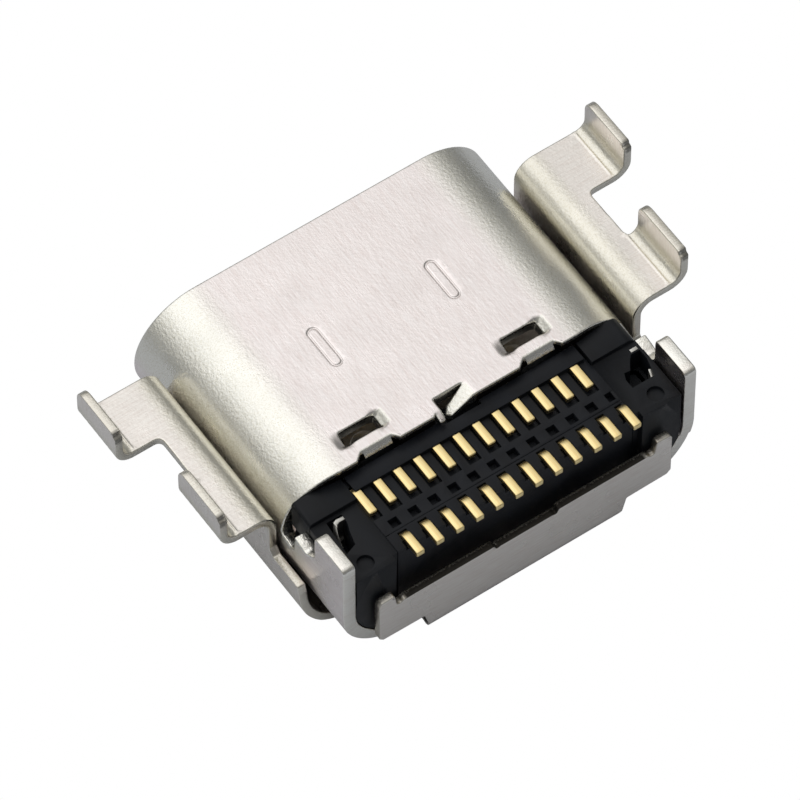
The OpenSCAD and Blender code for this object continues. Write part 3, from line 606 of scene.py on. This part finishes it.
def bracketBend(u, v, h):
    # section path: floor, lower bend, wall, bend into the wing, wing, bend into the leg, leg;
    # the flap is the same floor turned up across its rear edge
    b, s, q = bracket, np.abs(u), math.pi/2
    run = legStart(v) - wingStart
    parts = [(flatFloor, 0), (lowArc, q), (wallRun, 0), (wingArc, -q), (run, 0), (legArc, q), (b["legRun"], 0)]
    x, z, angle = foldPath(s, parts, (0, b["t"]/2), 0.0)
    # the coined ridge stands up by height*exp(-(distance/width)^2)
    h = h + b["ridge"]*np.exp(-((s - wingStart - run + 0.01)/b["ridgeWidth"])**2)*(h > 0)
    px, pz = x - np.sin(angle)*h, z + np.cos(angle)*h
    fy, fz, turn = foldPath(np.maximum(flapFold - v, 0), [(flapArc, q), (1.0, 0)], (0, b["t"]/2), 0.0)
    ry, rz = flapFold - (fy - np.sin(turn)*h), fz + np.cos(turn)*h
    flap, beyond = v < b["wallEnd"] - 0.02, v < flapFold
    y = np.where(flap & beyond, ry, v)
    px, pz = np.where(flap, s, px), np.where(flap, np.where(beyond, rz, b["t"]/2 + h), pz)
    return np.stack([np.sign(u)*px, y, pz], 1)


def legCorners(start, front, back):
    # round corner towards the mouth, and a small nick under the rear corner
    end = start + (legArc + bracket["legRise"] - bracket["legR"])
    return [(end, front + 0.01, 0.3), (end, back + 0.1, 0.03),
            (end - 0.09, back + 0.08, 0.03), (end - 0.13, back, 0.05)]


def bracketLoop():
    # the blank from the middle of the front edge round one side to the middle of the flap, as (u, v,
    # corner radius)
    b = bracket
    leg1, leg2 = legStart(b["front"]), legStart(b["leg2Back"])
    gap = wingStart + b["gapX"] - wingX
    wallAt = flatFloor + lowArc - b["lowR"]  # plus a height gives u on the wall
    flapAt = flapFold - flapArc + b["flapR"] + b["t"]  # minus a height gives v on the flap
    high, mid, side = flapAt - b["tabH"], flapAt - b["midH"], b["flapX"]
    half = [(0, b["front"], 0)] + legCorners(leg1, b["front"], b["leg1Back"])
    half += [(gap, b["leg1Back"], 0.16), (gap, b["leg2Front"], 0.16)]
    half += legCorners(leg2, b["leg2Front"], b["leg2Back"])
    half += [
        # step down to the low wall and round to the neck
        (wallAt + 1.85, b["leg2Back"], 0.1), (wallAt + b["lowWall"], b["leg2Back"] - 0.14, 0.08),
        (wallAt + b["lowWall"], b["wallEnd"] + 0.22, 0.06), (wallAt + 1.49, b["wallEnd"] + 0.16, 0.08),
        (4.712, b["wallEnd"] + 0.04, 0.1), (4.325, b["wallEnd"], 0.1), (b["neckX"], b["wallEnd"], 0.12),
        # out from the neck to the side of the flap
        (b["neckX"], flapFold, 0.05), (b["neckX"] + 0.15, flapAt - 0.62, 0.06),
        (side - 0.1, flapAt - 0.64, 0.06), (side, flapAt - 0.74, 0.06),
        # over the high corner to the lower middle
        (side, high + 0.1, 0.05), (side - 0.06, high, 0.05), (side - 0.39, high - 0.02, 0.05),
        (side - 0.45, mid + 0.04, 0.05), (side - 0.55, mid + 0.06, 0.05), (side - 0.62, mid, 0.06),
        (0.82, mid, 0.05), (0.76, mid + 0.13, 0.05), (0.66, mid + 0.1, 0.05), (0, mid + 0.1, 0),
    ]
    return roundLoop((half + otherHalf(half[1:-1]))[::-1], b["step"]*0.7)


def bracketFinishAndShade(u, v):
    # bent: the wing and leg bends, and half as much the wide lower one
    b, s, leg, wing = bracket, np.abs(u), legStart(v), wingStart - wingArc
    bent = smoothStep(s, wing - 0.25, wing + 0.1)*(1 - smoothStep(s, wingStart - 0.1, wingStart + 0.25))
    bent += smoothStep(s, leg - 0.1, leg + 0.08)*(1 - smoothStep(s, leg + legArc - 0.05, leg + legArc + 0.25))
    low = flatFloor + lowArc
    bent += smoothStep(s, flatFloor - 0.2, flatFloor + 0.3)*(1 - smoothStep(s, low - 0.3, low + 0.1))*0.5
    bent = np.clip(bent, 0, 1)*(v > b["wallEnd"])
    # torn, and painted near-black as shade: most of the flap's edge but its high corners, a trace elsewhere, and the
    # nicks of the legs, whose shaded recess is painted dark
    tornAndShade = np.where(v < b["flapY"], np.where(s > 3.05, 0.3, 0.95), 0.08)
    back = np.where(v > b["leg2Front"], b["leg1Back"], b["leg2Back"])
    nick = (s > leg + legArc + b["legRise"] - b["legR"] - 0.24) & (v < back + 0.125)
    return bent, np.where(nick, 0.6, tornAndShade)


def makeBracket():
    b = bracket
    # finer meshes along the coined ridges
    ridges = []
    for at, v0, v1 in ((legStart(b["front"]), b["leg1Back"], b["front"]),
                       (legStart(b["leg2Back"]), b["leg2Back"], b["leg2Front"])):
        ridges += [(x - 0.08, x + 0.08, v0, v1, 0.022) for x in (-at, at)]
    points, faces, uv, height = stampSheet([bracketLoop()], bracketBend, b, ridges)
    masks = sheetMasks(uv, height, b["t"], *bracketFinishAndShade(uv[:, 0], uv[:, 1]))
    piece = newPiece("mountBracket", points, faces, bracketSteel, masks)
    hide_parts("bracket")


makeBracket()
print("bracket made")


contacts = {
    "count": 12, "pitch": 0.5, "t": 0.15, "tail": 0.2, "beam": 0.25, "boardZ": 3.05,
    "jog": {"upper": -0.125, "lower": 0.125},  # sideways step between tail and beam
    "tailEnd": {"upper": -2.585, "lower": -3.945}, "leg": {"upper": -1.755, "lower": -3.24},
    "beamZ": {"upper": 2.095, "lower": 1.525}, "bend": 0.1,
    "tip": 2.68, "short": 0.35, "long": (0, 3, 8, 11),  # the signal contacts are shorter than the others
    "round": 0.022, "chamfer": 0.012, "endInset": (0.06, 0.022, 0.007),
}


def makeContact(row, index):
    # strip carried along a path in the YZ plane: tail, bend down, upright leg with a sideways jog,
    # bend forward, beam; the section is a rectangle with rounded corners that widens from tail to beam
    # and closes over three shrinking rings at both ends
    c, t, q = contacts, contacts["t"], math.pi/2
    x = (index - (c["count"] - 1)/2)*c["pitch"]
    radius, top, low = c["bend"] + t/2, c["boardZ"] - t/2, c["beamZ"][row]
    legY = c["leg"][row] - t/2
    drop = top - low - 2*radius
    tip = c["tip"] - (0 if index in c["long"] else c["short"])
    parts = [(legY - radius - c["tailEnd"][row], 0), (radius*q, -q), (drop, 0), (radius*q, q),
             (tip - (legY + radius), 0)]
    knots = np.cumsum([0] + [length for length, turn in parts])
    s = np.concatenate([np.linspace(knots[i], knots[i + 1], n, endpoint=False)
                        for i, n in enumerate((3, 7, 6, 7, 4))] + [[knots[-1]]])
    mix = smoothStep(s, knots[2] + drop*0.1, knots[2] + drop*0.9)
    # the first and last sections stand back from the ends, where the shrinking rings go
    ends = foldPath(s[[0, -1]], parts, (c["tailEnd"][row], top), 0.0)
    inner = s.copy()
    inner[[0, -1]] += 0.03, -0.03
    y, z, angle = foldPath(inner, parts, (c["tailEnd"][row], top), 0.0)
    bevel = np.array([0, 0, c["chamfer"]])
    y = np.concatenate([ends[0][0] + bevel, y, ends[0][1] - bevel[::-1]])
    z = np.concatenate([[ends[1][0]]*3, z, [ends[1][1]]*3])
    angle = np.concatenate([[ends[2][0]]*3, angle, [ends[2][1]]*3])
    centre, half = (np.pad(values, 3, mode="edge") for values in (
        x + c["jog"][row]*(1 - mix), (c["tail"] + (c["beam"] - c["tail"])*mix)/2))
    inset = np.concatenate([c["endInset"], np.zeros(len(s)), c["endInset"][::-1]])
    # section: four quarter circles pushed out to the corners
    a = np.add.outer(np.arange(4)*q, np.linspace(0, q, 4)).ravel()
    sideX, sideZ = np.repeat([1, -1, -1, 1], 4), np.repeat([1, 1, -1, -1], 4)
    w = sideX[None]*(half[:, None] - c["round"] - inset[:, None]) + np.cos(a)[None]*c["round"]
    h = sideZ[None]*(t/2 - c["round"]) + (np.sin(a)*c["round"])[None]
    h = h*(1 - inset[:, None]/(t/2))
    points = np.stack([centre[:, None] + w, y[:, None] - np.sin(angle)[:, None]*h,
                       z[:, None] + np.cos(angle)[:, None]*h], 2).reshape(-1, 3)
    n, m = w.shape
    i, j = np.meshgrid(np.arange(n - 1), np.arange(m), indexing="ij")
    k = (j + 1) % m
    quad = np.stack([i*m + j, i*m + k, (i + 1)*m + k, (i + 1)*m + j], 2).reshape(-1, 4)
    fan = np.arange(1, m - 1)
    first = np.zeros_like(fan)
    faces = np.concatenate([quad[:, [0, 1, 2]], quad[:, [0, 2, 3]], np.stack([first, fan + 1, fan], 1),
                            (n - 1)*m + np.stack([first, fan, fan + 1], 1)])
    blank = np.stack([w.ravel(), np.repeat(np.pad(s, 3, mode="edge"), m), h.ravel()], 1)
    piece = newPiece(f"{row}Contact{index + 1}", points, faces, contactGold, {"blank": blank})
    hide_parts(f"contact_{'a' if row == 'upper' else 'b'}{index + 1}")


for index in range(contacts["count"]):
    makeContact("upper", index)
    makeContact("lower", index)
print("contacts made")


def prism(outline, low, high, axis):
    # closed prism: a counter-clockwise outline carried along an axis; "z" stands on (x, y), "y" on (x, z)
    mesh = bpy.data.meshes.new("cutter")
    p, n = np.array(outline, float), len(outline)
    ends = [np.insert(p, 2 if axis == "z" else 1, level, axis=1) for level in (low, high)]
    i = np.arange(n)
    walls = np.stack([i, (i + 1) % n, (i + 1) % n + n, i + n], 1)
    mesh.from_pydata((np.concatenate(ends)*mm).tolist(), [], [list(i[::-1]), list(i + n)] + walls.tolist())
    mendMesh(mesh)
    return mesh


def block(x0, x1, y0, y1):
    # rectangle as a counter-clockwise outline
    return [(x0, y0), (x1, y0), (x1, y1), (x0, y1)]


def disc(x, y, r):
    # circle as an outline of 40 points: x + r cos a, y + r sin a
    a = np.linspace(0, 2*math.pi, 40, endpoint=False)
    return np.stack([x + r*np.cos(a), y + r*np.sin(a)], 1)


def dressedCopy(node, name, material, width, changes=()):
    # merged copy of a solid, first cut and built up by prisms, with flat regions joined, so that a
    # narrow bevel can run round its edges
    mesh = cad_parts[node].data.copy()
    mesh.name = name
    mendMesh(mesh, merge=1e-7)
    piece = intoScene(name, mesh)
    tools = []
    for step, (operation, outline, low, high, axis) in enumerate(changes):
        tools.append(intoScene("cutter", prism(outline, low, high, axis)))
        cut = piece.modifiers.new(f"cut{step}", "BOOLEAN")
        cut.operation, cut.solver, cut.object = operation, "EXACT", tools[-1]
    if tools:
        mesh = bpy.data.meshes.new_from_object(piece.evaluated_get(bpy.context.evaluated_depsgraph_get()))
        piece.modifiers.clear()
        piece.data = mesh
        for tool in tools:
            bpy.data.objects.remove(tool)
    mendMesh(mesh, merge=1e-7, flat=1.0)
    mesh.materials.clear()
    mesh.materials.append(material)
    mesh.polygons.foreach_set("use_smooth", np.ones(len(mesh.polygons), dtype=bool))
    mesh.polygons.foreach_set("material_index", np.zeros(len(mesh.polygons), dtype=np.int32))
    edge = piece.modifiers.new("mouldEdge", "BEVEL")
    edge.width, edge.segments, edge.limit_method = width*mm, 2, "ANGLE"
    edge.angle_limit, edge.harden_normals = math.radians(30), True
    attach(piece, "root")
    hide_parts(node)


housing = {
    # bar that closes the tube: end and corner radius on the right and left, slot beside it, heights
    "barEnd": (4.12, 4.17), "barRound": (0.25, 0.1), "slotX": 2.995, "barTop": 3.07, "barLow": 2.3,
    "barRear": -2.12, "barFront": -1.45,
    "floor": 2.935, "markX": 3.68, "markY": -3.45, "markR": 0.19, "markDeep": 0.1,
    "roofFill": (-2.96, 2.96, -1.62, -1.18), "roofFillZ": (2.6, 2.82),
    # pockets of the grounding hooks: outline from above, and how high their floor is
    "rightPocket": [(3.37, -3.06), (3.93, -3.06), (4.05, -2.62), (4.05, -2.36), (3.82, -2.36),
                    (3.74, -2.45), (3.58, -2.68), (3.44, -2.66), (3.37, -2.82)], "rightFloor": 2.3,
    "leftPocket": [(-3.88, -3.06), (-3.6, -2.96), (-3.52, -2.66), (-3.43, -2.41), (-3.42, -2.19), (-3.8, -2.19)],
    "leftFloor": 1.95, "open": 3.2,
}
seamFill = housing["floor"] - 0.012  # the fillers of the seams stay just below the floor


def housingChanges():
    # a filler under the roof's edge, and on each end the sealing bar across the tube, the solid block
    # behind it, a pocket for the grounding hook and a round ejector mark
    k = housing
    a = np.linspace(0, math.pi/2, 7)
    changes = [("UNION", block(*k["roofFill"]), *k["roofFillZ"], "z")]
    for side, end, turn in zip((1, -1), k["barEnd"], k["barRound"]):
        corner = np.stack([end - turn*(1 - np.cos(a)), k["barTop"] - turn*(1 - np.sin(a))], 1)
        bar = np.concatenate([[(k["slotX"], k["barLow"]), (end, k["barLow"])], corner, [(k["slotX"], k["barTop"])]])
        parts = [
            ("UNION", block(3.35, 4.09, -3.12, k["barRear"] + 0.01), 1.9, k["floor"], "z"),
            ("UNION", disc(3.67, -3.49, 0.29), 2.8, k["floor"], "z"),
            ("UNION", block(3.4, end - 0.01, -2.55, k["barRear"] + 0.02), 2.25, k["floor"], "z"),
            ("UNION", block(2.93, 3.07, -3.6, k["barRear"] + 0.02), 2.5, seamFill, "z"),
            ("UNION", bar, k["barRear"], k["barFront"], "y"),
            ("DIFFERENCE", disc(k["markX"], k["markY"], k["markR"]), k["floor"] - k["markDeep"], k["open"], "z"),
        ]
        # on the left every outline is flipped over x = 0 and read backwards
        changes += [(operation, (np.array(outline)*(side, 1))[::side], low, high, axis)
                    for operation, outline, low, high, axis in parts]
    changes.append(("DIFFERENCE", k["rightPocket"], k["rightFloor"], k["open"], "z"))
    changes.append(("DIFFERENCE", k["leftPocket"], k["leftFloor"], k["open"], "z"))
    return changes


hook = {
    "low": 2.25, "high": 2.95, "end": 2.86,
    "rightTab": [(3.86, -2.33), (4.03, -2.33), (4.03, -2.25), (3.86, -2.25)],
    "rightEnd": [(3.87, -3.03), (3.93, -3.04), (3.99, -2.84), (3.94, -2.83)],
    "leftStrip": [(-3.43, -2.25), (-3.6, -2.24), (-3.7, -2.29), (-3.78, -2.41), (-3.83, -2.58), (-3.87, -2.8),
                  (-3.81, -2.82), (-3.76, -2.6), (-3.7, -2.44), (-3.64, -2.36), (-3.57, -2.33), (-3.43, -2.33)],
}


def hookChanges():
    # the upright legs of the CAD plate go; the right pocket gets a tab in front and a post at the rear, the
    # left one a thin strip that turns towards the middle in front and falls away round its bend
    h = hook
    changes = [("DIFFERENCE", block(*ends, -3.2, -2.1), 2.3, 3.2, "z") for ends in ((3.3, 4.15), (-4.15, -3.3))]
    for outline, top in ((h["rightTab"], h["high"]), (h["rightEnd"], h["end"]), (h["leftStrip"], h["high"])):
        changes.append(("UNION", outline, h["low"], top, "z"))
    changes.append(("DIFFERENCE", [(-3.95, 2.6), (-3.68, h["high"]), (-3.68, 3.2), (-3.95, 3.2)], -3.2, -2.1, "y"))
    return changes


dressedCopy("housing", "housingBody", housingPlastic, 0.02, housingChanges())
dressedCopy("upper_wafer", "upperWaferBody", waferPlastic, 0.008)
dressedCopy("lower_wafer", "lowerWaferBody", waferPlastic, 0.008,
            [("UNION", block(-2.9, 2.9, -3.2, -3.12), 2.5, seamFill, "z")])
dressedCopy("tongue", "tongueBody", tonguePlastic, 0.015)
dressedCopy("mid_plate", "midPlateSheet", plateSteel, 0.02, hookChanges())
dressedCopy("collar_upper", "collarUpperSheet", collarSteel, 0.015)
dressedCopy("collar_lower", "collarLowerSheet", collarSteel, 0.015)
print("moulded and inner pieces made")


studio = {
    "floor": 600.0, "table": "#D2D5DB",  # half width in mm
    "lens": 394.2, "away": 182.3, "look": (-1.00, -0.83, 3.46), "azimuth": -34.71, "elevation": 56.35,
    # dome: direction of the big softbox, level, and the shades from far behind it to its middle
    "softbox": (-0.15, 0.3, 0.94), "domeLevel": 0.78,
    "dome": [(0.0, "#858688"), (0.3, "#919290"), (0.5, "#A8A8A5"),
             (0.64, "#D2D1CE"), (0.78, "#FAF9F7"), (0.9, "#FFFFFF")],
    # lamps: place and size in mm, watts, tint
    "lamps": {
        "overheadBox": ((-10, 75, 190), (210, 170), 0.02, "#FFF9F8"),
        "leftBox": ((-150, 60, 130), (90, 110), 0.004, "#FFFDF4"),
        "nearKey": ((-22, 50, 92), (90, 120), 0.010, "#FFFFFF"),
    },
}


def makeFloor():
    # square plate just under the part; white where the camera sees it, a plain grey table to everything else
    corners = np.array([(-1, -1, 0), (1, -1, 0), (1, 1, 0), (-1, 1, 0)], float)*studio["floor"]*mm
    mesh = bpy.data.meshes.new("floorPlate")
    mesh.from_pydata(corners.tolist(), [], [(0, 1, 2, 3)])
    floor = intoScene("floorPlate", mesh)
    floor.location.z = cadLow.z - 0.02*mm
    material = bpy.data.materials.new("pale studio paper")
    material.use_nodes = True
    tree = material.node_tree
    tree.nodes.clear()
    paper = addNode(tree, "ShaderNodeBsdfDiffuse", {"Color": hexColour(studio["table"])})
    white = addNode(tree, "ShaderNodeEmission", {"Color": (1, 1, 1, 1), "Strength": 1.0})
    clear = addNode(tree, "ShaderNodeBsdfTransparent")
    seen = addNode(tree, "ShaderNodeLightPath").outputs["Is Camera Ray"]
    below = addNode(tree, "ShaderNodeNewGeometry").outputs["Backfacing"]
    above = addNode(tree, "ShaderNodeMixShader", {"Fac": seen, 1: paper.outputs[0], 2: white.outputs[0]})
    both = addNode(tree, "ShaderNodeMixShader", {"Fac": below, 1: above.outputs[0], 2: clear.outputs[0]})
    addNode(tree, "ShaderNodeOutputMaterial", {"Surface": both.outputs[0]})
    mesh.materials.append(material)


def makeSky():
    # soft dome: brightness falls with the angle from the middle of the big overhead softbox, which hangs
    # a little to the left and towards the mouth; the camera sees plain white
    world = bpy.data.worlds.new("studioDome")
    bpy.context.scene.world = world
    world.use_nodes = True
    tree = world.node_tree
    tree.nodes.clear()
    way = addNode(tree, "ShaderNodeTexCoord").outputs["Generated"]
    towards = addNode(tree, "ShaderNodeVectorMath", {
        0: way, 1: Vector(studio["softbox"]).normalized()}, operation="DOT_PRODUCT").outputs["Value"]
    shade = addNode(tree, "ShaderNodeValToRGB", {"Fac": towards}, studio["dome"]).outputs["Color"]
    dome = addNode(tree, "ShaderNodeBackground", {"Color": shade, "Strength": studio["domeLevel"]})
    white = addNode(tree, "ShaderNodeBackground", {"Color": (1, 1, 1, 1), "Strength": 1.0})
    seen = addNode(tree, "ShaderNodeLightPath").outputs["Is Camera Ray"]
    mix = addNode(tree, "ShaderNodeMixShader", {"Fac": seen, 1: dome.outputs[0], 2: white.outputs[0]})
    addNode(tree, "ShaderNodeOutputWorld", {"Surface": mix.outputs[0]})


def addLamp(name, place, size, power, tint):
    # rectangular softbox that faces the part
    data = bpy.data.lights.new(name, "AREA")
    data.shape, data.size, data.size_y = "RECTANGLE", size[0]*mm, size[1]*mm
    data.energy, data.color = power, hexColour(tint)[:3]
    lamp = intoScene(name, data)
    lamp.location = Vector(place)*mm
    lamp.rotation_mode = "QUATERNION"
    lamp.rotation_quaternion = (-Vector(place)).to_track_quat("-Z", "Y")


def makeCamera():
    # back is the unit vector from the part to the camera: (sin a cos e, -cos a cos e, sin e)
    a, e = math.radians(studio["azimuth"]), math.radians(studio["elevation"])
    back = Vector((math.sin(a)*math.cos(e), -math.cos(a)*math.cos(e), math.sin(e)))
    data = bpy.data.cameras.new("studioCamera")
    data.lens, data.sensor_width = studio["lens"], 36.0
    data.clip_start, data.clip_end = 0.01, 5.0
    camera = intoScene("studioCamera", data)
    camera.location = (Vector(studio["look"]) + back*studio["away"])*mm
    camera.rotation_mode = "QUATERNION"
    camera.rotation_quaternion = (-back).to_track_quat("-Z", "Y")
    bpy.context.scene.camera = camera


makeFloor()
makeSky()
for lamp, values in studio["lamps"].items():
    addLamp(lamp, *values)
makeCamera()
bpy.context.scene.view_settings.view_transform = "Standard"
print("studio made")
